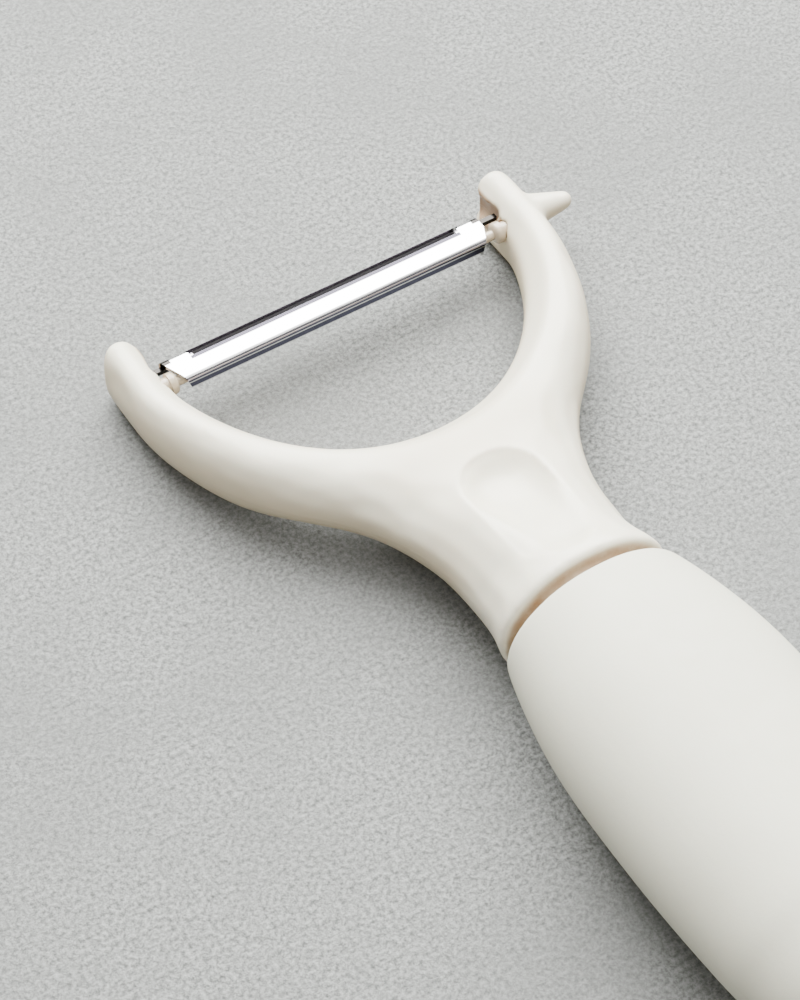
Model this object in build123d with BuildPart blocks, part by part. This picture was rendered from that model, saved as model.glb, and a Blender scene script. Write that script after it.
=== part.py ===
"""A Y-shaped vegetable peeler, lying on a table with its thumb rest up.

Millimetres. +Z is up and the table is z = 0. +Y runs from the handle to the blade, and the
tool is symmetric about x = 0 apart from the eye remover on its right arm. The origin is on
the flat that the handle's belly rests on. The tool's own axis droops towards the blade, so
each piece is drawn in a tool frame: its origin is the middle of the blade's pivot axis, its
y runs along the tool towards the arm tips, and its z stands square to the tool. A reach is a
distance from the pivot axis back towards the handle.
"""

import os
from math import ceil, cos, floor, pi, radians, sin, sqrt

from build123d import *

os.makedirs("parts", exist_ok=True)

# How the tool lies
pivot_ahead = 88.2
pivot_height = 7.5
droop = 4.06

# Yoke
arm_gap = 56.8
arm_straight = 1.9
opening_depth = 28.6
arm_width = 7.2
tip_reach = 9.3
tip_dome = 3.0
tip_foot = 1.4
tip_skirt = 0.1
low_round = 2.6
crest_round = 2.2
foot_round = 3.0
rim_margin = 1.1
eye_blend = 0.5
crest_height = 4.9
arm_waist_drop = 1.8
arm_arch = 1.0
arm_top_round = 4.8
arm_low_round = 3.2
band_width = 4.0
band_drop = 4.4
deck_crown = 0.8

# Neck and collar
neck_root_reach = 31.0
neck_round_reach = 24.0
neck_waist_reach = 56.0
neck_waist_width = 24.8
collar_reach = 66.3
collar_width = 27.4
collar_depth = 22.8
collar_lip = 0.8
oval_round_share = 0.96
neck_round_share = 0.75

# Thumb rest
dimple_reach = 51.0
dimple_length = 22.6
dimple_width = 13.0
dimple_depth = 2.0
dimple_end_depth = 1.2
dimple_end_round = 3.0

# Eye remover
eye_length = 5.9
eye_base_radius = 3.2
eye_tip_radius = 1.5
eye_root = 3.0
eye_ahead = 1.4
eye_lean = 8.0

# Groove and handle
groove_width = 1.8
groove_depth = 2.6
grip_width = 36.2
grip_depth = 29.2
grip_length = 80.0
grip_skin = 2.0
grip_lip = 0.4
core_wall = 2.6
core_nose = 5.0
core_hollow_share = 0.70

# Hanging hole
hang_radius = 4.0
hang_rim = 2.0
hang_inset = 13.5

# Tang and the pin that locks it in the handle
tang_length = 30.0
tang_width = 14.0
tang_depth = 10.0
tang_corner = 2.0
tang_clearance = 0.1
lock_radius = 1.5
lock_inset = 17.0
lock_clearance = 0.05

# Blade
blade_left = 26.0
blade_right = 24.9
blade_left_flare = 2.0
blade_right_flare = 1.2
sheet = 0.6
blade_top = 1.6
blade_near = 1.8
blade_far = 3.75
near_flange = 2.25
far_flange = 2.2
flange_taper = 0.7
bend_radius = 0.8
shoulder_radius = 1.2
slot_left = 23.6
slot_right = 22.4
slot_near = 2.4
slot_lobe = 0.4
edge_lean = 0.2
edge_depth = 0.75
bevel = 0.5
tooth_pitch = 0.8
tooth_depth = 0.2
end_plate_drop = 2.2
end_plate_face = 24.4

# Pivot pins, bushes and stops
pin_radius = 0.6
pin_clearance = 0.05
pin_head_radius = 0.8
pin_head = 0.5
pin_hold = 5.0
bush_radius = 1.7
bush_nose_radius = 0.8
bush_base = 0.6
bush_dome = 0.75
bush_shank_radius = 1.3
bush_sunk = 3.6
bush_gap = 0.15
swivel = 20.0
ear_near = 2.6
ear_far = 3.4
ear_half_height = 0.4
ear_reach = 1.1
ear_gap = 0.4
stop_gap = 0.12
recess_far = 8.1
recess_top = 0.3
recess_low = 3.1
overrun = 10.0

# Outlines as shares of the sizes above: how far along, then how wide
arm_outline_shares = (
    (-1.0, 1.0),
    (-0.5, 1.0),
    (0.0, 1.0),
    (0.22, 0.992),
    (0.39, 0.963),
    (0.55, 0.924),
    (0.71, 0.870),
    (0.87, 0.797),
    (1.02, 0.708),
    (1.14, 0.618),
    (1.26, 0.535),
    (1.39, 0.467),
)
neck_outline_shares = ((0.80, 1.165), (0.90, 1.045), (1.0, 1.01), (1.10, 1.01))
neck_rise_shares = ((0.0, 0.0), (0.17, 0.2), (0.4, 0.49), (0.7, 0.76), (1.0, 1.0))
opening_side_share = 0.112
opening_root_share = 0.744
grip_outline_shares = (
    (0.0, 0.773),
    (0.07, 0.858),
    (0.15, 0.934),
    (0.25, 0.985),
    (0.36, 1.0),
    (0.48, 0.998),
    (0.60, 0.978),
    (0.72, 0.932),
    (0.82, 0.853),
    (0.90, 0.725),
    (0.96, 0.530),
    (1.0, 0.22),
)

# Places worked out from the sizes
lean = radians(droop)
tool = Plane(
    origin=(0, pivot_ahead, pivot_height), x_dir=(1, 0, 0), z_dir=(0, sin(lean), cos(lean))
)
tool_side = Plane(origin=tool.origin, x_dir=tool.y_dir, z_dir=tool.x_dir)
arm_inside = arm_gap / 2
arm_outside = arm_inside + arm_width
tip_radius = arm_width / 2
tip_centre = tip_reach - tip_radius
tip_across = arm_inside + tip_radius
arm_bottom = (tip_reach * sin(lean) - pivot_height) / cos(lean)
grip_front = collar_reach + groove_width
head_span = collar_reach + tip_reach
station_pitch = head_span / 18
slot_far = blade_far - sheet
bush_face = end_plate_face + bush_gap
swing = radians(swivel)
recess_near = ear_near * cos(swing) - ear_half_height * sin(swing) - stop_gap
recess_half_height = ear_far * sin(swing) + ear_half_height * cos(swing) + stop_gap
recess_mouth = ear_far + stop_gap
hang_reach = grip_front + grip_length - hang_inset


def across(reach):
    """The plane square to the tool at a reach, its x to the right and its y up."""
    middle = tool.from_local_coords((0, -reach, 0))
    return Plane(origin=middle, x_dir=tool.x_dir, z_dir=-tool.y_dir)


def blend(start, end, share):
    """The value that share of the way from start to end."""
    return start + (end - start) * share


def along_curve(points, place):
    """The height at a place of a smooth curve through points, given in rising order."""
    last = len(points) - 1
    at = max(i for i in range(last) if points[i][0] <= max(place, points[0][0]))
    ends = (points[max(at - 1, 0)], points[at], points[at + 1], points[min(at + 2, last)])
    (x0, y0), (x1, y1), (x2, y2), (x3, y3) = ends
    run = x2 - x1
    slope1 = (y2 - y0) / (x2 - x0) * run
    slope2 = (y3 - y1) / (x3 - x1) * run
    t = (place - x1) / run
    fall = 2 * t**3 - 3 * t**2
    return y1 * (1 + fall) - y2 * fall + slope1 * (t**3 - 2 * t**2 + t) + slope2 * (t**3 - t**2)


def oval(plane, half_width, top, waist, bottom, top_round, low_round, crown):
    """A section with a low crown, whose sides are quarter ellipses that meet at the waist."""
    top_flat = half_width - top_round
    low_flat = half_width - low_round
    with BuildSketch(plane) as outline:
        with BuildLine():
            ThreePointArc((top_flat, top), (0, top + crown), (-top_flat, top))
            EllipticalCenterArc((-top_flat, waist), top_round, top - waist, start_angle=90)
            EllipticalCenterArc((-low_flat, waist), low_round, waist - bottom, start_angle=180)
            Line((-low_flat, bottom), (low_flat, bottom))
            EllipticalCenterArc((low_flat, waist), low_round, waist - bottom, start_angle=270)
            EllipticalCenterArc((top_flat, waist), top_round, top - waist, start_angle=0)
        make_face()
    return outline.sketch


def head_half_width(reach):
    """Half the head's width at a reach, from the arms' outline and the neck's."""
    arms = [(down * opening_depth, wide * arm_outside) for down, wide in arm_outline_shares]
    neck = [
        (down * neck_waist_reach, wide * neck_waist_width / 2)
        for down, wide in neck_outline_shares
    ]
    return along_curve(arms + neck + [(collar_reach, collar_width / 2)], reach)


def neck_turn(reach, start=neck_root_reach):
    """How far a reach lies from a start on the arms, 0, to the collar, 1."""
    return min(max((reach - start) / (collar_reach - start), 0), 1)


def head_top(reach):
    """The height of the head's back at a reach."""
    return blend(crest_height, collar_depth / 2, along_curve(neck_rise_shares, neck_turn(reach)))


def head_section(reach):
    """The head's section, which turns from the arms' flat form into the collar's oval."""
    half_width = head_half_width(reach)
    turn = neck_turn(reach)
    round_full = half_width * oval_round_share
    roundness = min(neck_turn(reach, neck_round_reach) / neck_round_share, 1)
    arch = min(max(reach / opening_depth, 0), 1)
    return oval(
        across(reach),
        half_width,
        head_top(reach),
        blend(-arm_waist_drop, 0, turn),
        blend(arm_bottom + arm_arch * arch, -collar_depth / 2, turn),
        blend(arm_top_round, round_full, roundness),
        blend(arm_low_round, round_full, roundness),
        deck_crown * (half_width - blend(arm_top_round, round_full, roundness)) / arm_outside,
    )


def opening(grow, height):
    """The yoke's opening at a height, with its edge moved outwards by grow."""
    side = arm_inside + grow
    depth = opening_depth + grow
    front = tip_reach + overrun
    bend = -arm_straight - (depth - arm_straight) * opening_side_share
    root = side * opening_root_share
    with BuildSketch(tool.offset(height)) as outline:
        with BuildLine():
            Bezier((side, -arm_straight), (side, bend), (root, -depth), (0, -depth))
            Bezier((-side, -arm_straight), (-side, bend), (-root, -depth), (0, -depth))
            Polyline(
                (-side, -arm_straight), (-side, front), (side, front), (side, -arm_straight)
            )
        make_face()
    return outline.sketch


def rim_edges(edges, grow, height):
    """The edges that run round the opening, moved outwards by grow, at about a height."""
    found = []
    for edge in edges:
        middle = tool.to_local_coords(edge.center())
        climb = tool.to_local_coords(edge @ 1).Z - tool.to_local_coords(edge @ 0).Z
        level = abs(middle.Z - height) < rim_margin and abs(climb) < rim_margin
        beside = abs(middle.X) < arm_inside + grow + rim_margin
        along = -opening_depth - grow - rim_margin < middle.Y < tip_reach
        if level and beside and along:
            found.append(edge)
    return found


def grip_section(share, inset):
    """The handle's section at a share of its length, its surface moved in by inset."""
    wide = along_curve(grip_outline_shares, share)
    half_width = wide * grip_width / 2 - inset
    half_depth = wide * grip_depth / 2 - inset
    rounding = half_width * oval_round_share
    plane = across(grip_front + share * grip_length)
    crown = deck_crown * (half_width - rounding) / arm_outside
    return oval(plane, half_width, half_depth, 0, -half_depth, rounding, rounding, crown)


def grip_form(inset, start, end, count):
    """A closed form like the handle, between two shares of its length."""
    with BuildPart() as form:
        stations = [blend(start, end, sin(pi / 2 * i / count)) for i in range(count + 1)]
        loft([grip_section(share, inset) for share in stations])
    return form.part


def keep(piece, name):
    """Labels a finished piece and writes its file."""
    piece.label = name
    export_step(piece, f"parts/{name}.step")


# Cutters for the yoke's opening, the sloping band round its edge and the arm tips
with BuildPart() as opening_cut:
    loft([opening(0, arm_bottom - overrun), opening(0, crest_height + overrun)], ruled=True)
with BuildPart() as band_cut:
    band_foot = opening(0, crest_height - band_drop)
    band_head = opening(band_width * 2, crest_height + band_drop)
    loft([band_foot, band_head], ruled=True)
    extrude(band_head, amount=overrun)
with BuildPart(tool.offset(arm_bottom - tip_skirt)) as tip_forms:
    with Locations((tip_across, tip_centre), (-tip_across, tip_centre)):
        upright = (Align.CENTER, Align.CENTER, Align.MIN)
        Cylinder(tip_radius, crest_height - arm_bottom + tip_skirt, align=upright)
    rims = edges().filter_by(GeomType.CIRCLE).group_by(Axis(tool.origin, tool.z_dir))
    fillet(rims[-1], tip_dome)
    fillet(rims[0], tip_foot)
with BuildPart() as tip_cut:
    with BuildSketch(tool.offset(arm_bottom - overrun)):
        with Locations((0, tip_centre + arm_outside)):
            Rectangle(arm_outside * 3, arm_outside * 2)
    extrude(amount=crest_height - arm_bottom + overrun * 2)
    add(tip_forms.part, mode=Mode.SUBTRACT)

# The thumb rest is a scoop laid along the neck's back, round at the yoke and square behind
dimple_cross = ((dimple_width / 2) ** 2 + dimple_depth**2) / (2 * dimple_depth)
dimple_front = dimple_reach - dimple_length / 2
dimple_back = dimple_reach + dimple_length / 2
neck_rise = (head_top(dimple_back) - head_top(dimple_front)) / dimple_length
dimple_top = head_top(dimple_reach)
with BuildPart() as dimple_cut:
    scoop = Plane(
        origin=tool.from_local_coords((0, -dimple_reach, dimple_top + dimple_cross - dimple_depth)),
        x_dir=tool.y_dir - tool.z_dir * neck_rise,
        z_dir=tool.x_dir,
    )
    surface = dimple_depth - dimple_cross
    end_cross = dimple_cross - dimple_depth + dimple_end_depth
    with BuildSketch(scoop):
        with BuildLine():
            front = dimple_length / 2
            Line((-front, 0), (-front, surface))
            ThreePointArc(
                (-front, surface),
                (-front + dimple_end_round / 3, surface - dimple_end_depth * 0.62),
                (-front + dimple_end_round, -end_cross),
            )
            Line((-front + dimple_end_round, -end_cross), (front - dimple_width / 2, -dimple_cross))
            ThreePointArc(
                (front - dimple_width / 2, -dimple_cross),
                (front - dimple_width / 2 * 0.4, surface - dimple_depth * 0.64),
                (front, surface),
            )
            Line((front, surface), (front, 0))
            Line((front, 0), (-front, 0))
        make_face()
    revolve(axis=Axis(scoop.origin, scoop.x_dir))

# The eye remover is a cone with a ball end on the outside of the right arm
eye_foot = tool.from_local_coords((arm_outside - eye_root, eye_ahead, 0))
eye_tilt = radians(eye_lean)
eye_axis = tool.x_dir * cos(eye_tilt) - tool.y_dir * sin(eye_tilt)
eye_height = eye_root + eye_length - eye_tip_radius
with BuildPart(Plane(origin=eye_foot, x_dir=tool.z_dir, z_dir=eye_axis)) as eye_remover:
    Cone(eye_base_radius, eye_tip_radius, eye_height, align=(Align.CENTER, Align.CENTER, Align.MIN))
    with Locations((0, 0, eye_height)):
        Sphere(eye_tip_radius)

# Head: yoke, neck, collar and tang in one moulding
with BuildPart() as head_frame:
    station_count = ceil((head_span + overrun) / station_pitch)
    shares = [i / station_count for i in range(station_count + 1)]
    loft([head_section(blend(-tip_reach - overrun, collar_reach, share)) for share in shares])
    chamfer(faces().sort_by(Axis(tool.origin, -tool.y_dir))[-1].edges(), collar_lip)
    add(opening_cut.part, mode=Mode.SUBTRACT)
    add(band_cut.part, mode=Mode.SUBTRACT)
    fillet(rim_edges(edges(), 0, arm_bottom + arm_arch / 2), low_round)
    fillet(rim_edges(edges(), band_width, crest_height), crest_round)
    fillet(rim_edges(edges(), 0, crest_height - band_drop), foot_round)
    add(tip_cut.part, mode=Mode.SUBTRACT)
    add(dimple_cut.part, mode=Mode.SUBTRACT)
    add(eye_remover.part)
    eye_root_edges = edges().sort_by_distance(tool.from_local_coords((arm_outside, eye_ahead, 0)))
    fillet(eye_root_edges[:1], eye_blend)
    with BuildSketch(across(collar_reach)):
        Ellipse(collar_width / 2 - groove_depth, collar_depth / 2 - groove_depth)
    extrude(amount=groove_width)
    with BuildSketch(across(grip_front)):
        RectangleRounded(tang_width, tang_depth, tang_corner)
    extrude(amount=tang_length)
    with BuildSketch(tool_side):
        with Locations((-grip_front - lock_inset, 0)):
            Circle(lock_radius + lock_clearance)
    extrude(amount=tang_width, both=True, mode=Mode.SUBTRACT)
    with BuildSketch(tool_side):
        Circle(bush_shank_radius)
    extrude(amount=arm_inside + bush_sunk, both=True, mode=Mode.SUBTRACT)
    with BuildSketch(tool_side):
        with BuildLine():
            Polyline(
                (recess_near, -recess_half_height),
                (recess_near, recess_half_height),
                (recess_mouth, recess_half_height),
                (recess_far, recess_top),
                (recess_far, -recess_low),
                (recess_mouth, -recess_half_height),
                close=True,
            )
        make_face()
    extrude(amount=arm_inside + ear_reach + ear_gap, both=True, mode=Mode.SUBTRACT)
keep(head_frame.part, "head_frame")

# Handle core: a stiff hollow body with the hanging eye at its tail
core_form = grip_form(grip_skin, 0, 1 - grip_skin / grip_length, 14)
grip_solid = grip_form(0, 0, 1, 14)
hang_plane = Plane(
    origin=tool.from_local_coords((0, -hang_reach, 0)), x_dir=tool.x_dir, z_dir=tool.z_dir
)
with BuildPart() as eye_rim:
    with BuildSketch(hang_plane):
        Circle(hang_radius + hang_rim)
    extrude(amount=grip_depth, both=True)
    add(grip_solid, mode=Mode.INTERSECT)
with BuildPart() as handle_core:
    add(core_form)
    add(eye_rim.part)
    hollow = grip_form(grip_skin + core_wall, core_nose / grip_length, core_hollow_share, 6)
    add(hollow, mode=Mode.SUBTRACT)
    with BuildSketch(across(grip_front)):
        RectangleRounded(
            tang_width + tang_clearance * 2,
            tang_depth + tang_clearance * 2,
            tang_corner + tang_clearance,
        )
    extrude(amount=core_nose * 2, mode=Mode.SUBTRACT)
    with BuildSketch(tool_side):
        with Locations((-grip_front - lock_inset, 0)):
            Circle(lock_radius)
    extrude(amount=grip_width, both=True, mode=Mode.SUBTRACT)
    with BuildSketch(hang_plane):
        Circle(hang_radius)
    extrude(amount=grip_depth, both=True, mode=Mode.SUBTRACT)
keep(handle_core.part, "handle_core")

# Grip: a soft skin moulded over the core, with a flat under its belly to rest on
with BuildPart() as handle_grip:
    add(grip_solid)
    chamfer(faces().sort_by(Axis(tool.origin, tool.y_dir))[-1].edges(), grip_lip)
    add(core_form, mode=Mode.SUBTRACT)
    add(eye_rim.part, mode=Mode.SUBTRACT)
    with BuildSketch(hang_plane):
        Circle(hang_radius)
    extrude(amount=grip_depth, both=True, mode=Mode.SUBTRACT)
    with BuildSketch(Plane.XY):
        Rectangle(grip_width * 2, grip_length * 4)
    extrude(amount=-overrun, mode=Mode.SUBTRACT)
keep(handle_grip.part, "handle_grip")

# Tang pin: a rod across the handle, its ends flush with the core under the grip
with BuildPart() as tang_pin:
    with BuildSketch(tool_side):
        with Locations((-grip_front - lock_inset, 0)):
            Circle(lock_radius)
    extrude(amount=grip_width, both=True)
    add(core_form, mode=Mode.INTERSECT)
keep(tang_pin.part, "tang_pin")

# Blade: a bent strip with a toothed edge along its slot, and a plate with an ear at each end
flange_foot = blade_top - near_flange
plate_under = blade_top - sheet
near_face = -blade_near
far_foot = blade_top - far_flange
shoulder_start = blade_far - shoulder_radius
edge_place = slot_far + edge_lean
shoulder_drop = shoulder_radius - sqrt(shoulder_radius**2 - (edge_place - shoulder_start) ** 2)
slot_long = slot_left + slot_right
slot_middle = (slot_right - slot_left) / 2
far_left = -blade_left - blade_left_flare
far_right = blade_right + blade_right_flare
with BuildPart() as blade:
    with BuildSketch(tool_side):
        with BuildLine():
            Polyline(
                (near_face, blade_top - bend_radius),
                (near_face, flange_foot),
                (near_face + sheet, flange_foot),
                (near_face + sheet, blade_top - bend_radius),
            )
            RadiusArc(
                (near_face + sheet, blade_top - bend_radius),
                (near_face + bend_radius, plate_under),
                bend_radius - sheet,
            )
            Line((near_face + bend_radius, plate_under), (shoulder_start, plate_under))
            RadiusArc(
                (shoulder_start, plate_under),
                (slot_far, blade_top - shoulder_radius),
                shoulder_radius - sheet,
            )
            Polyline(
                (slot_far, blade_top - shoulder_radius),
                (slot_far, far_foot),
                (blade_far, far_foot),
                (blade_far, blade_top - shoulder_radius),
            )
            RadiusArc(
                (blade_far, blade_top - shoulder_radius),
                (shoulder_start, blade_top),
                -shoulder_radius,
            )
            Line((shoulder_start, blade_top), (near_face + bend_radius, blade_top))
            RadiusArc(
                (near_face + bend_radius, blade_top),
                (near_face, blade_top - bend_radius),
                -bend_radius,
            )
        make_face()
    extrude(amount=max(blade_left, blade_right) + overrun, both=True)
    with BuildSketch(tool):
        with BuildLine():
            Polyline(
                (blade_right, near_face),
                (far_right, (near_face + blade_far) / 2),
                (far_right, blade_far),
                (far_left, blade_far),
                (far_left, slot_far),
                (-blade_left, near_face),
                close=True,
            )
        make_face()
    extrude(amount=overrun, both=True, mode=Mode.INTERSECT)
    with BuildSketch(Plane(origin=tool.origin, x_dir=tool.x_dir, z_dir=-tool.y_dir)):
        for end, side in ((blade_right, 1), (-blade_left, -1)):
            with BuildLine():
                Polyline(
                    (end, plate_under),
                    (end - side * flange_taper, flange_foot - sheet),
                    (end + side * overrun, flange_foot - sheet),
                    (end + side * overrun, plate_under),
                    close=True,
                )
            make_face()
    extrude(amount=blade_near * 2, mode=Mode.SUBTRACT)
    with BuildSketch(tool):
        with Locations((slot_middle, (slot_near + slot_far) / 2)):
            Rectangle(slot_long, slot_far - slot_near)
        with Locations((slot_right, slot_far), (-slot_left, slot_far)):
            Circle(slot_lobe)
    extrude(amount=overrun, mode=Mode.SUBTRACT)
    with BuildSketch(tool_side.offset(slot_middle)):
        with BuildLine():
            Polyline(
                (slot_near - bevel, blade_top),
                (slot_near, blade_top),
                (slot_near, blade_top - bevel),
                close=True,
            )
        make_face()
    extrude(amount=slot_long / 2 - bevel, both=True, mode=Mode.SUBTRACT)
    with BuildSketch(tool_side.offset(slot_middle)):
        with BuildLine():
            Polyline(
                (slot_far, blade_top),
                (slot_far, blade_top - edge_depth),
                (edge_place, blade_top - shoulder_drop),
                (edge_place, blade_top),
                close=True,
            )
        make_face()
    extrude(amount=slot_long / 2, both=True, mode=Mode.SUBTRACT)
    with BuildSketch(tool.offset(blade_top)):
        with Locations((slot_middle, edge_place)):
            with GridLocations(tooth_pitch, 0, floor(slot_long / tooth_pitch) - 1, 1):
                Rectangle(tooth_depth, tooth_depth, rotation=45)
    extrude(amount=-sheet, mode=Mode.SUBTRACT)
    for side in (-1, 1):
        with BuildSketch(tool_side.offset(side * (end_plate_face - sheet / 2))):
            with Locations(((near_face + ear_far) / 2, plate_under - end_plate_drop / 2)):
                Rectangle(ear_far - near_face, end_plate_drop)
        extrude(amount=sheet / 2, both=True)
        with BuildSketch(tool_side.offset(side * end_plate_face)):
            with Locations(((ear_near + ear_far) / 2, 0)):
                Rectangle(ear_far - ear_near, ear_half_height * 2)
        extrude(amount=side * (arm_inside + ear_reach - end_plate_face))
    with BuildSketch(tool_side):
        Circle(pin_radius)
    extrude(amount=arm_inside, both=True, mode=Mode.SUBTRACT)
keep(blade.part, "blade")

# Pivot pins, riveted in the blade, turn in the bushes pressed into the arms
for side, name in ((-1, "left"), (1, "right")):
    outward = Plane(origin=tool.origin, x_dir=tool.z_dir, z_dir=tool.x_dir * side)
    turning = Axis(tool.origin, tool.x_dir)
    profile = Plane(origin=tool.origin, x_dir=tool.x_dir * side, z_dir=tool.y_dir * side)
    with BuildPart() as pivot_pin:
        with BuildSketch(outward.offset(end_plate_face - sheet - pin_head)):
            Circle(pin_head_radius)
        extrude(amount=pin_head)
        with BuildSketch(outward.offset(end_plate_face - sheet)):
            Circle(pin_radius)
        extrude(amount=sheet + pin_hold)
    keep(pivot_pin.part, f"pivot_pin_{name}")
    bore = pin_radius + pin_clearance
    with BuildPart() as pivot_bush:
        with BuildSketch(profile):
            with BuildLine():
                Polyline(
                    (arm_inside - bush_base - bush_dome, bush_nose_radius),
                    (bush_face, bush_nose_radius),
                    (bush_face, bore),
                    (arm_inside + bush_sunk, bore),
                    (arm_inside + bush_sunk, bush_shank_radius),
                    (arm_inside, bush_shank_radius),
                    (arm_inside, bush_radius),
                    (arm_inside - bush_base, bush_radius),
                )
                EllipticalCenterArc(
                    (arm_inside - bush_base, bush_nose_radius),
                    bush_dome,
                    bush_radius - bush_nose_radius,
                    start_angle=90,
                )
            make_face()
        revolve(axis=turning)
    keep(pivot_bush.part, f"pivot_bush_{name}")
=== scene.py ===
"""Looks for the Y-shaped vegetable peeler: materials, softened mouldings, floor, light, camera.

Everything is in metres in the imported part's frame, but for places on the tool, which are in
tool millimetres: origin in the middle of the blade's pivot axis, x along that axis, y along
the tool towards the arm tips and z square to the tool.
"""

from math import cos, radians, sin

import bpy
import numpy as np
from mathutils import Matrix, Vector


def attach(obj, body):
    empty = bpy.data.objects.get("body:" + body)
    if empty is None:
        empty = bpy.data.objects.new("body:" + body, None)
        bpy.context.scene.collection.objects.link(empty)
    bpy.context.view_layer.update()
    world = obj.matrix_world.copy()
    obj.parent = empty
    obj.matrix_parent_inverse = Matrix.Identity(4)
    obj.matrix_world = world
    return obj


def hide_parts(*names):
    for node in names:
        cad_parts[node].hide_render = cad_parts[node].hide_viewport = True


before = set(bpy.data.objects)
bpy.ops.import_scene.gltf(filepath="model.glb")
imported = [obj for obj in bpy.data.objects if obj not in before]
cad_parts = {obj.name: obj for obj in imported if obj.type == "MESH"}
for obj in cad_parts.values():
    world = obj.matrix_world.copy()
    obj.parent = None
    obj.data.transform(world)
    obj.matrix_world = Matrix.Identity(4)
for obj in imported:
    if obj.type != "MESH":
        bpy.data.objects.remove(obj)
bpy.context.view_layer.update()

MM = 0.001
DROOP = radians(4.06)
PIVOT_Y = 88.2
PIVOT_Z = 7.5
TOOL_DOWN = (0, -sin(DROOP), -cos(DROOP))

# Colours, the tints that darken them, and the colours of painted shade and painted reflection
HEAD_WHITE = (0.81, 0.77, 0.635)
GRIP_WHITE = (0.65, 0.64, 0.53)
BUSH_IVORY = (0.45, 0.37, 0.27)
# Brown painted shade for the groove and the pockets
RECESS_SHADE_COLOR = (0.25, 0.12, 0.045)
FLOOR_GREY = (0.215, 0.220, 0.214)
BLADE_GREY = (0.84, 0.84, 0.85)
PIN_GREY = (0.62, 0.61, 0.59)
# Painted shade and painted reflection on the blade: darker steel on the slot's walls, the far rim,
# the near flange and the ears, and a dark bluish tint on the bevel strip so that its reflection
# reads lavender
STEEL_FLANGE_SHADE = (0.09, 0.09, 0.13)
STEEL_SLOT_SHADE = (0.17, 0.155, 0.175)
STEEL_RIM_SHADE = (0.16, 0.145, 0.165)
STEEL_BEVEL_REFLECTION = (0.046, 0.042, 0.055)
STEEL_EAR_SHADE = (0.035, 0.032, 0.03)
STEEL_SHADE = (0.30, 0.29, 0.36)
SMUDGE_TINT = (0.80, 0.76, 0.68)
# Painted shade: the darker, warmer tone of flanks that face sideways or down
FLANK_SHADE_TINT = (0.66, 0.57, 0.46)

# The blade's bands of painted shade and painted reflection, in tool millimetres, with edges that
# blur by BAND_EDGE each way
BAND_EDGE = 0.05
SLOT_LENGTH = ("X", -23.6, 22.4)
DECK_STRIP = (("Y", 1.25, 1.92), ("Z", 0.9, 1.75))
FAR_RIM = (("Y", 2.12, 4.1), ("Z", 0.95, 1.75))
SLOT_WALLS = (("Y", -1.1, 4.1), ("Z", -1.4, 1.0))
NEAR_FLANGE = ("Y", -1.95, -1.2)
FLANGE_TOP = ("Z", 0.85, 1.35)
FLANGE_BEND = ("Z", 0.62, 0.9)
FLANGE_SIDE = ("Z", -0.5, 0.42)
EAR_DEPTH = ("Y", 2.2, 3.9)
RIGHT_EAR = ("X", 24.95, 32.0)
LEFT_EAR = ("X", -32.0, -26.6)
BLADE_SHADE_BANDS = (
    (STEEL_BEVEL_REFLECTION, (SLOT_LENGTH, *DECK_STRIP)),
    (STEEL_RIM_SHADE, (SLOT_LENGTH, *FAR_RIM)),
    (STEEL_SLOT_SHADE, (SLOT_LENGTH, *SLOT_WALLS)),
    (STEEL_SHADE, (NEAR_FLANGE, FLANGE_TOP)),
    (STEEL_FLANGE_SHADE, (NEAR_FLANGE, FLANGE_BEND)),
    (STEEL_FLANGE_SHADE, (NEAR_FLANGE, FLANGE_SIDE)),
    (STEEL_EAR_SHADE, (RIGHT_EAR, EAR_DEPTH)),
    (STEEL_EAR_SHADE, (LEFT_EAR, EAR_DEPTH)),
)

# The mouldings' parting line, in tool millimetres: on the head it drops towards the arms
SEAM_START_Y = -66.3
SEAM_LOW_Y = -31.0
SEAM_DROP = 1.6
SEAM_LINE = (0.04, 0.16)
SEAM_SHARE = 0.16

# The stretch that holds most of a noise's values, and the Mix node's colour sockets
NOISE_SPAN = (0.3, 0.7)
MIX_FACTOR, MIX_FIRST, MIX_SECOND, MIX_RESULT = 0, 6, 7, 2


# Materials
def shade(color, factor):
    return tuple(channel * factor for channel in color)


def tinted(color, tint):
    return tuple(channel * share for channel, share in zip(color, tint))


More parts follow.
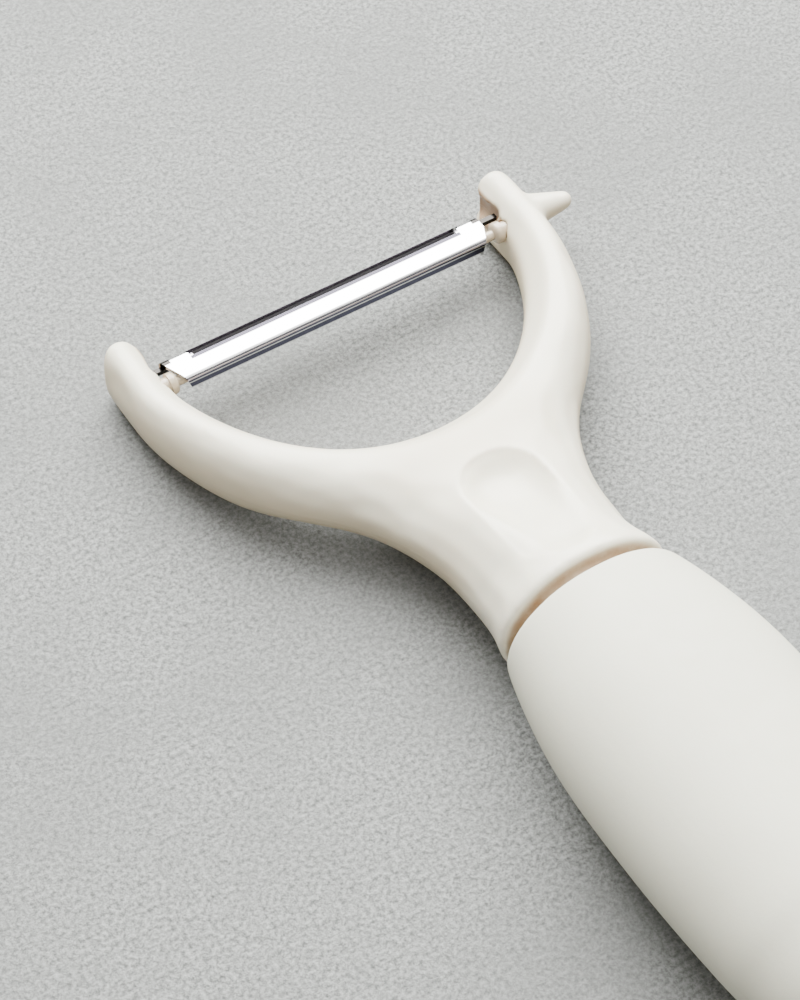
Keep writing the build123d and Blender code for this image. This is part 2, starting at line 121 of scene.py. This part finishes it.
class Net:
    """A material's node tree with short ways to add and join nodes."""

    def __init__(self, name, color, rough, **sockets):
        self.material = bpy.data.materials.new(name)
        self.material.use_nodes = True
        self.tree = self.material.node_tree
        self.shader = self.tree.nodes["Principled BSDF"]
        self.shader.inputs["Base Color"].default_value = (*color, 1)
        self.shader.inputs["Roughness"].default_value = rough
        for key, value in sockets.items():
            self.shader.inputs[key.replace("_", " ")].default_value = value
        self.coords = self.node("ShaderNodeTexCoord").outputs["Object"]

    def node(self, kind, **settings):
        made = self.tree.nodes.new(kind)
        for key, value in settings.items():
            setattr(made, key, value)
        return made

    def link(self, source, target):
        self.tree.links.new(source, target)

    def put(self, made, name, value):
        """Links a socket to a node's input, or sets the input to a number or colour."""
        if isinstance(value, bpy.types.NodeSocket):
            self.link(value, made.inputs[name])
        else:
            made.inputs[name].default_value = value

    def tool_mm(self):
        """Coordinates in the tool frame, in millimetres."""
        made = self.node("ShaderNodeMapping")
        self.link(self.coords, made.inputs["Vector"])
        made.inputs["Scale"].default_value = (1 / MM, 1 / MM, 1 / MM)
        made.inputs["Rotation"].default_value = (DROOP, 0, 0)
        y = PIVOT_Y * cos(DROOP) - PIVOT_Z * sin(DROOP)
        z = PIVOT_Y * sin(DROOP) + PIVOT_Z * cos(DROOP)
        made.inputs["Location"].default_value = (0, -y, -z)
        return made.outputs["Vector"]

    def axes(self, vector):
        made = self.node("ShaderNodeSeparateXYZ")
        self.link(vector, made.inputs["Vector"])
        return made.outputs

    def attribute(self, name):
        """A value that the mesh stores at each point, 0 where it stores none."""
        return self.node("ShaderNodeAttribute", attribute_name=name).outputs["Fac"]

    def noise(self, vector, scale, detail, rough=0.5, stretch=None):
        if stretch:
            squeeze = self.node("ShaderNodeMapping")
            self.link(vector, squeeze.inputs["Vector"])
            squeeze.inputs["Scale"].default_value = stretch
            vector = squeeze.outputs["Vector"]
        made = self.node("ShaderNodeTexNoise")
        self.link(vector, made.inputs["Vector"])
        made.inputs["Scale"].default_value = scale
        made.inputs["Detail"].default_value = detail
        made.inputs["Roughness"].default_value = rough
        return made.outputs["Fac"]

    def spread(self, value, low, high, out_low=0.0, out_high=1.0):
        """Maps low to out_low and high to out_high, smoothly and no further."""
        made = self.node("ShaderNodeMapRange", interpolation_type="SMOOTHSTEP")
        self.put(made, "Value", value)
        made.inputs["From Min"].default_value = low
        made.inputs["From Max"].default_value = high
        made.inputs["To Min"].default_value = out_low
        made.inputs["To Max"].default_value = out_high
        return made.outputs["Result"]

    def math(self, operation, first, second=0.0):
        made = self.node("ShaderNodeMath", operation=operation)
        self.put(made, 0, first)
        self.put(made, 1, second)
        return made.outputs["Value"]

    def mix(self, factor, first, second):
        made = self.node("ShaderNodeMix", data_type="RGBA")
        self.put(made, MIX_FACTOR, factor)
        for slot, value in ((MIX_FIRST, first), (MIX_SECOND, second)):
            if isinstance(value, tuple):
                value = (*value, 1)
            self.put(made, slot, value)
        return made.outputs[MIX_RESULT]

    def within(self, parts, limits):
        """1 inside a box given as axis, low and high in tool millimetres, 0 outside it."""
        inside = None
        for axis, low, high in limits:
            for edge, way in ((low, 1), (high, -1)):
                reach = self.math("MULTIPLY", self.math("SUBTRACT", parts[axis], edge), way)
                step = self.spread(reach, -BAND_EDGE, BAND_EDGE)
                inside = step if inside is None else self.math("MULTIPLY", inside, step)
        return inside

    def bump(self, height, strength, distance, below=None):
        made = self.node("ShaderNodeBump")
        made.inputs["Strength"].default_value = strength
        made.inputs["Distance"].default_value = distance
        self.link(height, made.inputs["Height"])
        if below is not None:
            self.link(below, made.inputs["Normal"])
        return made.outputs["Normal"]

    def finish(self, color, normal, rough=None):
        for name, socket in (("Base Color", color), ("Roughness", rough), ("Normal", normal)):
            if socket is not None:
                self.link(socket, self.shader.inputs[name])
        return self.material


def moulded(name, color, rough, grain, smudge, seam_height=None, **sockets):
    """White moulding: mottling, smudges, fine grain, a parting line, and the painted shade that
    the mesh stores on its flanks, on the neck's top and in the groove and pockets.
    """
    net = Net(name, color, rough, **sockets)
    place = net.tool_mm()
    parts = net.axes(place)
    cloud = net.noise(place, scale=0.09, detail=4.0)
    fine = net.noise(place, scale=2.6, detail=2.0)
    blots = net.noise(place, scale=0.35, detail=5.0, rough=0.65)
    tone = net.mix(net.spread(cloud, *NOISE_SPAN), shade(color, 0.965), color)
    smudges = net.spread(blots, low=0.62, high=0.80, out_high=smudge)
    tone = net.mix(smudges, tone, tinted(color, SMUDGE_TINT))
    level = seam_height(net, parts["Y"]) if seam_height else 0.0
    off_seam = net.math("ABSOLUTE", net.math("SUBTRACT", parts["Z"], level))
    seam = net.spread(off_seam, *SEAM_LINE, out_low=1.0, out_high=0.0)
    tone = net.mix(net.math("MULTIPLY", seam, SEAM_SHARE), tone, shade(color, 0.72))
    # Painted shade on flanks that face sideways or down and on the neck's top, as the mesh stores
    # it
    tone = net.mix(net.attribute("flank_shade"), tone, tinted(color, FLANK_SHADE_TINT))
    # Painted shade in the groove and the pockets, brown and patchy, as the mesh stores it
    patches = net.spread(blots, low=0.25, high=0.75, out_low=0.75)
    tone = net.mix(net.math("MULTIPLY", net.attribute("recess_shade"), patches), tone, RECESS_SHADE_COLOR)
    gloss = net.spread(blots, low=0.35, high=0.7, out_low=rough - 0.05, out_high=rough + 0.07)
    normal = net.bump(cloud, strength=0.25, distance=0.25 * MM)
    normal = net.bump(fine, strength=grain, distance=0.03 * MM, below=normal)
    normal = net.bump(seam, strength=0.5, distance=0.05 * MM, below=normal)
    return net.finish(tone, normal, gloss)


def head_seam(net, along):
    """The parting line drops from the collar's middle to the arms' widest line."""
    return net.spread(along, SEAM_START_Y, SEAM_LOW_Y, out_low=0.0, out_high=-SEAM_DROP)


def steel(name, color, rough, grain_scale, scratch, stretch=None, bands=()):
    """Rolled steel: fine grain, hairline scratches, water marks, and bands of painted shade and
    painted reflection.
    """
    net = Net(name, color, rough, Metallic=1.0)
    place = net.tool_mm()
    parts = net.axes(place)
    grain = net.noise(place, grain_scale, detail=6.0, rough=0.7, stretch=stretch)
    film = net.noise(place, scale=0.45, detail=4.0, rough=0.6)
    hairs = net.noise(place, scale=1.1, detail=8.0, rough=0.75, stretch=(0.25, 2.2, 2.2))
    lines = net.spread(hairs, low=0.60, high=0.72)
    tone = net.mix(net.spread(film, low=0.35, high=0.7), shade(color, 0.90), color)
    tone = net.mix(net.math("MULTIPLY", lines, 0.25), tone, shade(color, 0.72))
    # Painted shade and painted reflection, band by band
    for band_color, limits in bands:
        tone = net.mix(net.within(parts, limits), tone, band_color)
    gloss = net.spread(film, low=0.3, high=0.75, out_low=rough * 0.75, out_high=rough * 1.6)
    normal = net.bump(grain, strength=scratch, distance=0.01 * MM)
    normal = net.bump(lines, strength=scratch * 0.6, distance=0.01 * MM, below=normal)
    return net.finish(tone, normal, gloss)


def glossy(name, color, rough, **sockets):
    """Hard ivory plastic, slightly cloudy."""
    net = Net(name, color, rough, **sockets)
    place = net.tool_mm()
    cloud = net.noise(place, scale=0.8, detail=4.0)
    fine = net.noise(place, scale=6.0, detail=2.0)
    tone = net.mix(net.spread(cloud, *NOISE_SPAN), shade(color, 0.88), color)
    gloss = net.spread(cloud, *NOISE_SPAN, out_low=rough, out_high=rough * 1.8)
    return net.finish(tone, net.bump(fine, strength=0.2, distance=0.01 * MM), gloss)


def napped(name, color, rough):
    """Pale floor: a fine nap over small tufts, in faint larger clouds."""
    net = Net(name, color, rough)
    nap = net.noise(net.coords, scale=1500.0, detail=5.0, rough=0.75)
    tuft = net.noise(net.coords, scale=420.0, detail=2.0)
    cloud = net.noise(net.coords, scale=26.0, detail=6.0, rough=0.6)
    tone = net.mix(net.spread(nap, *NOISE_SPAN), shade(color, 0.38), shade(color, 1.60))
    clouds = net.spread(cloud, low=0.38, high=0.66, out_high=0.5)
    tone = net.mix(clouds, tone, shade(color, 0.80))
    normal = net.bump(tuft, strength=0.5, distance=0.8 * MM)
    normal = net.bump(nap, strength=0.8, distance=0.5 * MM, below=normal)
    return net.finish(tone, normal)


head_plastic = moulded(
    "head_plastic", HEAD_WHITE, rough=0.34, grain=0.10, smudge=0.10, seam_height=head_seam,
    Subsurface_Weight=0.08, Subsurface_Scale=2 * MM,
)
grip_plastic = moulded(
    "grip_skin", GRIP_WHITE, rough=0.62, grain=0.45, smudge=0.22,
    Subsurface_Weight=0.05, Subsurface_Scale=2 * MM,
)
core_plastic = moulded(
    "core_plastic", shade(GRIP_WHITE, 0.98), rough=0.50, grain=0.2, smudge=0.15,
)
blade_steel = steel(
    "blade_steel", BLADE_GREY, rough=0.13, grain_scale=1.6, scratch=0.25,
    stretch=(0.06, 3.0, 3.0), bands=BLADE_SHADE_BANDS,
)
pin_steel = steel("pin_steel", PIN_GREY, rough=0.28, grain_scale=4.0, scratch=0.3)
bush_plastic = glossy("bush_plastic", BUSH_IVORY, rough=0.14, Coat_Weight=0.5)


def dress(node, material):
    """Gives a CAD node its material."""
    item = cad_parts[node]
    item.data.materials.clear()
    item.data.materials.append(material)


# Smooth shares, from 0 to 1 or back
def ramp(values, start, end):
    """0 before start, 1 after end."""
    share = np.clip((values - start) / (end - start), 0, 1)
    return share * share * (3 - 2 * share)


def fade(values, start, end):
    """1 before start, 0 after end."""
    return ramp(-values, -end, -start)


def window(values, start, full, turn, end):
    """0 before start, 1 from full to turn, 0 after end."""
    return ramp(values, start, full) * fade(values, turn, end)


def hump(values, middle, width):
    """1 in the middle, falling off on both sides."""
    return np.exp(-(((values - middle) / width) ** 2))


def between(share, start, end):
    """From start, where the share is 0, to end, where it is 1."""
    return start + (end - start) * share


# Points of a piece
def triples(items, key):
    """One vector of each item, as rows of three numbers."""
    values = np.empty(len(items) * 3)
    items.foreach_get(key, values)
    return values.reshape(-1, 3)


def tool_points(piece):
    """The x, y and z of a piece's points in the tool frame, in millimetres."""
    points = triples(piece.data.vertices, "co") / MM - (0, PIVOT_Y, PIVOT_Z)
    y = points[:, 1] * cos(DROOP) - points[:, 2] * sin(DROOP)
    z = points[:, 1] * sin(DROOP) + points[:, 2] * cos(DROOP)
    return points[:, 0], y, z


def shift(piece, steps):
    """Moves each point of a piece by its own step, in metres."""
    points = triples(piece.data.vertices, "co") + steps
    piece.data.vertices.foreach_set("co", points.ravel())
    piece.data.update()


# Softened mouldings
EASE_FACTOR = 0.5
HEAD_VOXEL = 0.40 * MM
HEAD_ROUNDS = 6
HEAD_CALM_ROUNDS = 12
GRIP_VOXEL = 0.36 * MM
GRIP_ROUNDS = 2


def apply(piece, modifier):
    with bpy.context.temp_override(object=piece, active_object=piece):
        bpy.ops.object.modifier_apply(modifier=modifier.name)


def ease(piece, rounds, group=""):
    """Smooths a piece, all over or by the weights of a vertex group."""
    modifier = piece.modifiers.new("ease", "CORRECTIVE_SMOOTH")
    modifier.use_only_smooth = True
    modifier.iterations = rounds
    modifier.factor = EASE_FACTOR
    modifier.vertex_group = group
    apply(piece, modifier)


def softened(node, name, material, voxel, rounds, calm=None, calm_rounds=0):
    """A copy of a CAD node with its edges eased as a moulding's are, more so where calm says."""
    piece = bpy.data.objects.new(name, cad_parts[node].data.copy())
    bpy.context.scene.collection.objects.link(piece)
    bpy.context.view_layer.objects.active = piece
    remesh = piece.modifiers.new("remesh", "REMESH")
    remesh.mode = "VOXEL"
    remesh.voxel_size = voxel
    apply(piece, remesh)
    ease(piece, rounds)
    if calm:
        weights = calm(*tool_points(piece))
        group = piece.vertex_groups.new(name="calm")
        for index in np.nonzero(weights > 0)[0]:
            group.add([int(index)], float(weights[index]), "REPLACE")
        ease(piece, calm_rounds, group.name)
        piece.vertex_groups.clear()
    for polygon in piece.data.polygons:
        polygon.use_smooth = True
    piece.data.materials.clear()
    piece.data.materials.append(material)
    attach(piece, "tool")
    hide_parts(node)
    return piece


# Where the head is smoothed more, in tool millimetres
CALM_Y = (-66.0, -64.0)
CALM_X = (35.2, 36.4)
SEAT_X = (30.2, 31.2)
SEAT_Y = (-4.0, -2.2, 9.0, 10.5)
SEAT_Z = (3.6, 5.0)
EYE_X = (33.0, 34.0)
EYE_MIDDLE_Y = 0.7
EYE_REACH = (4.6, 6.0)


def head_calm(x, y, z):
    """1 on the arms and neck, 0 at the collar, the pockets and bush seats, and the eye remover."""
    weights = ramp(y, *CALM_Y) * fade(np.abs(x), *CALM_X)
    at_seat = window(y, *SEAT_Y) * fade(np.abs(z), *SEAT_Z) * fade(np.abs(x), *SEAT_X)
    at_eye = ramp(x, *EYE_X) * fade(np.abs(y - EYE_MIDDLE_Y), *EYE_REACH)
    return weights * (1 - at_seat) * (1 - at_eye)


# The pockets in the arms, as windows of x, y and z in tool millimetres
POCKET_ROOM = 0.3 * MM
POCKET_WALLS = ((28.0, 28.5, 32.0, 33.0), (0.6, 1.3, 8.6, 9.2), (-4.0, -3.4, 1.0, 1.6))
# Where the pockets get painted shade
POCKET_SHADE_BOX = ((28.2, 28.6, 31.0, 32.0), (1.4, 2.1, 8.0, 8.5), (-3.6, -3.0, 1.6, 2.1))


def pockets(x, y, z, box):
    """1 in the pockets of both arms, 0 away from them."""
    return window(np.abs(x), *box[0]) * window(y, *box[1]) * window(z, *box[2])


def widen_pockets(piece):
    """Sets the pockets' softened walls back, so that the blade's ears swing clear of them."""
    near = pockets(*tool_points(piece), POCKET_WALLS)
    outward = triples(piece.data.vertex_normals, "vector")
    shift(piece, -outward * near[:, None] * POCKET_ROOM)


# The neck's top, in tool millimetres
NECK_TOP_Z = (-2.0, 8.0)
NECK_ROWS = (-66.0, -24.0, 1.0)
ROW_REACH = 1.0
ROWS_AVERAGED = 5
BOW_DEPTH = 1.5
BOW_Y = (-64.5, -58.0, -43.0, -32.0)
DIP_DEPTH = 0.7
DIP_Y = (-42.0, 6.5)
DIP_X = (12.0, 24.0)
REST_X = -0.4
REST_Y = -51.2
REST_HALF_WIDTH = 6.4
REST_HALF_LENGTH = 11.3
REST_TURN_Y = (-60.0, -48.0)
REST_CORNERS = (3.0, 6.0)
REST_DEPTHS = (0.45, 1.40)
REST_SLOPE = 5.5
REST_LIP = (-0.2, 1.0)


def neck_half_width(x, y):
    """Half the width of the neck level with each point, evened out from row to row."""
    rows = np.arange(*NECK_ROWS)
    reach = [np.abs(x[np.abs(y - row) < ROW_REACH]).max() for row in rows]
    padded = np.pad(reach, ROWS_AVERAGED // 2, "edge")
    even = np.ones(ROWS_AVERAGED) / ROWS_AVERAGED
    return np.interp(y, rows, np.convolve(padded, even, "valid"))


def neck_drop(x, y):
    """How far the neck's top drops towards its sides, and in the dip before the thumb rest."""
    across = np.clip(x / neck_half_width(x, y), -1, 1)
    bow = BOW_DEPTH * across**2 * window(y, *BOW_Y)
    return bow + DIP_DEPTH * hump(y, *DIP_Y) * fade(np.abs(x), *DIP_X)


def thumb_rest(x, y):
    """How far the thumb rest sinks: a bowl, rounder and deeper at its end by the blade."""
    by_blade = ramp(y, *REST_TURN_Y)
    corner = between(by_blade, *REST_CORNERS)
    side = np.maximum(np.abs(x - REST_X) - REST_HALF_WIDTH + corner, 0)
    end = np.maximum(np.abs(y - REST_Y) - REST_HALF_LENGTH + corner, 0)
    inside = corner - np.hypot(side, end)
    bowl = 1 - (1 - np.clip(inside, 0, REST_SLOPE) / REST_SLOPE) ** 2
    return bowl * ramp(inside, *REST_LIP) * between(by_blade, *REST_DEPTHS)


def bow_neck(piece):
    """Bows the neck's top from side to side and gives its thumb rest a soft, clear edge."""
    x, y, z = tool_points(piece)
    lower = (neck_drop(x, y) + thumb_rest(x, y)) * ramp(z, *NECK_TOP_Z)
    shift(piece, np.outer(lower, TOOL_DOWN) * MM)


# Painted shade in the groove and pockets, on the flanks and on the neck's top next to the thumb
# rest, at places in tool millimetres
FLANK_SHADE_TILT = (0.05, 0.92)
GRIP_FLANK_SHADE = 0.12
ARM_FLANK_SHADE = 0.85
COLLAR_FLANK_SHADE = 0.25
COLLAR_Y = (-62.0, -50.0)
GROOVE_Y = (-68.6, -68.0, -66.4, -66.0)
HEAD_RECESS_SHADE = 0.95
HOLLOW_SHADE_Y = (-37.0, 6.0)
HOLLOW_SHADE_X = (8.0, 22.0)
HOLLOW_SHADE_Z = (3.0, 5.0)
HOLLOW_SHADE_SHARE = 0.40


def paint_shade(piece, recess_shade, share, more=0.0):
    """Stores each point's painted shade in recesses, and its painted shade where it faces sideways
    or down, plus any extra painted shade.
    """
    upright = triples(piece.data.vertex_normals, "vector")[:, 2]
    flank_shade = (1 - ramp(upright, *FLANK_SHADE_TILT)) * share + more
    for name, values in (("recess_shade", recess_shade), ("flank_shade", flank_shade)):
        kept = np.broadcast_to(np.clip(values, 0, 1), upright.shape)
        layer = piece.data.attributes.new(name, "FLOAT", "POINT")
        layer.data.foreach_set("value", np.ascontiguousarray(kept, dtype=np.float32))


def paint_head_shade(piece):
    """Painted shade in the groove and pockets, on the flanks and on the neck's top next to the
    thumb rest.
    """
    x, y, z = tool_points(piece)
    recess_shade = (window(y, *GROOVE_Y) + pockets(x, y, z, POCKET_SHADE_BOX)) * HEAD_RECESS_SHADE
    share = between(fade(y, *COLLAR_Y), ARM_FLANK_SHADE, COLLAR_FLANK_SHADE)
    hollow_shade = hump(y, *HOLLOW_SHADE_Y) * fade(np.abs(x), *HOLLOW_SHADE_X) * ramp(z, *HOLLOW_SHADE_Z)
    paint_shade(piece, recess_shade, share, hollow_shade * HOLLOW_SHADE_SHARE)


head = softened(
    "head_frame", "head_moulding", head_plastic, HEAD_VOXEL, HEAD_ROUNDS,
    calm=head_calm, calm_rounds=HEAD_CALM_ROUNDS,
)
bow_neck(head)
widen_pockets(head)
paint_head_shade(head)
grip = softened(
    "handle_grip", "grip_moulding", grip_plastic, GRIP_VOXEL, GRIP_ROUNDS,
)
# Painted shade on the grip's flanks only
paint_shade(grip, recess_shade=0.0, share=GRIP_FLANK_SHADE)
dress("handle_core", core_plastic)
dress("blade", blade_steel)
for side in ("left", "right"):
    dress("pivot_pin_" + side, pin_steel)
    dress("pivot_bush_" + side, bush_plastic)
dress("tang_pin", pin_steel)


# Floor
FLOOR_SIZE = 4.0
FLOOR_MIDDLE_Y = 0.3
FLOOR_ROUGH = 0.9
bpy.ops.mesh.primitive_plane_add(size=FLOOR_SIZE, location=(0, FLOOR_MIDDLE_Y, 0))
floor = bpy.context.object
floor.name = "floor"
floor.data.materials.append(napped("floor", FLOOR_GREY, FLOOR_ROUGH))

# Light: a large key beyond the blade, a weaker one overhead, and a sky that dims downwards
PIVOT = Vector((0, PIVOT_Y * MM, PIVOT_Z * MM))
KEY_WAY = Vector((0.3055, 0.6118, 0.7297))
KEY_DISTANCE = 0.75
KEY_SIZE = (0.95, 0.75)
KEY_WATTS = 50.0
KEY_COLOR = (0.975, 0.99, 0.965)
TOP_PLACE = Vector((-0.05, -0.05, 0.9))
TOP_TARGET = (0, 0.04, 0)
TOP_SIZE = (0.9, 0.9)
TOP_WATTS = 9.0
TOP_COLOR = (1, 0.99, 0.97)
SKY_COLOR = (1.0, 0.975, 0.93)
SKY_LOW = 0.04
SKY_HIGH = 0.66
SKY_HIGH_FROM = 0.9


def area_light(name, place, target, size, power, color):
    data = bpy.data.lights.new(name, "AREA")
    data.shape = "RECTANGLE"
    data.size, data.size_y = size
    data.energy = power
    data.color = color
    lamp = bpy.data.objects.new(name, data)
    lamp.location = place
    aim = Vector(target) - Vector(place)
    lamp.rotation_euler = aim.to_track_quat("-Z", "Y").to_euler()
    bpy.context.scene.collection.objects.link(lamp)


def studio_world():
    """Light from all round, from SKY_LOW at the horizon and below to SKY_HIGH overhead."""
    world = bpy.data.worlds.new("studio")
    bpy.context.scene.world = world
    world.use_nodes = True
    tree = world.node_tree
    sky = tree.nodes["Background"]
    sky.inputs["Color"].default_value = (*SKY_COLOR, 1)
    way = tree.nodes.new("ShaderNodeTexCoord")
    height = tree.nodes.new("ShaderNodeSeparateXYZ")
    dome = tree.nodes.new("ShaderNodeMapRange")
    dome.inputs["From Min"].default_value = 0.0
    dome.inputs["From Max"].default_value = SKY_HIGH_FROM
    dome.inputs["To Min"].default_value = SKY_LOW
    dome.inputs["To Max"].default_value = SKY_HIGH
    tree.links.new(way.outputs["Generated"], height.inputs["Vector"])
    tree.links.new(height.outputs["Z"], dome.inputs["Value"])
    tree.links.new(dome.outputs["Result"], sky.inputs["Strength"])


area_light("key", PIVOT + KEY_WAY * KEY_DISTANCE, PIVOT, KEY_SIZE, KEY_WATTS, KEY_COLOR)
area_light("top", TOP_PLACE, TOP_TARGET, TOP_SIZE, TOP_WATTS, TOP_COLOR)
studio_world()

# Camera, solved from the photo, its places in millimetres and its lens in the photo's pixels
AZIMUTH = radians(-31.29)
ELEVATION = radians(53.97)
DISTANCE = 409.16
AIM_X = -7.638
AIM_BEHIND_PIVOT = 30.316
LENS_PIXELS = 2848
PHOTO_HEIGHT = 1000
SENSOR_WIDTH = 36.0
NEAR_CLIP = 0.01


def photo_camera():
    """The photograph's view, aimed at a point of the floor."""
    level = cos(ELEVATION)
    back = Vector((sin(AZIMUTH) * level, -cos(AZIMUTH) * level, sin(ELEVATION)))
    target = Vector((AIM_X * MM, (PIVOT_Y - AIM_BEHIND_PIVOT) * MM, 0))
    data = bpy.data.cameras.new("camera")
    data.sensor_fit = "AUTO"
    data.sensor_width = SENSOR_WIDTH
    data.lens = LENS_PIXELS / PHOTO_HEIGHT * SENSOR_WIDTH
    data.clip_start = NEAR_CLIP
    camera = bpy.data.objects.new("camera", data)
    camera.location = target + back * DISTANCE * MM
    camera.rotation_euler = (-back).to_track_quat("-Z", "Y").to_euler()
    bpy.context.scene.collection.objects.link(camera)
    bpy.context.scene.camera = camera


photo_camera()
